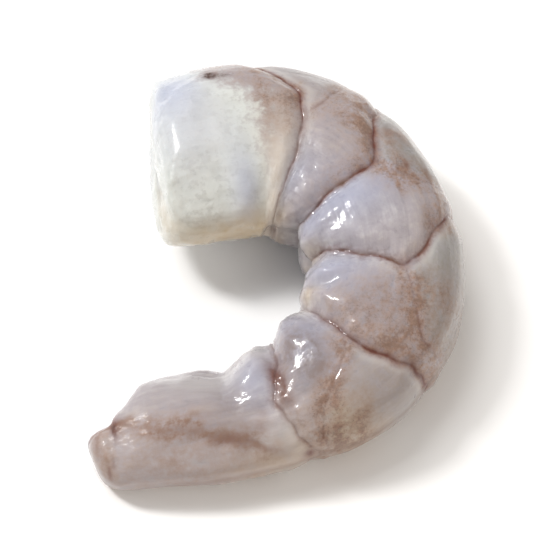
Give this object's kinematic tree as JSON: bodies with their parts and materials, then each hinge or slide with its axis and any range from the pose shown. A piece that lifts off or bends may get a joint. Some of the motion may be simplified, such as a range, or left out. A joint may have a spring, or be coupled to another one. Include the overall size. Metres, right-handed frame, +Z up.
{
  "type": "peeled shrimp",
  "caption": "Raw peeled shrimp without head or tail fan, curled into a C and lying on its side, its flesh swollen between creased segments.",
  "frame": {"origin": "on the surface it lies on, under the middle of its bounding box", "axes": "+Z up through the flank, +Y along the longer side of the curl towards the head half, and the mouth of the curl opens towards -X"},
  "size_m": [0.046, 0.0568, 0.0165],
  "materials": {
    "flesh": "wet raw flesh, translucent bluish white to grey-brown, glossy"
  },
  "bodies": {
    "root": {"shrimp": "flesh"}
  },
  "joints": []
}
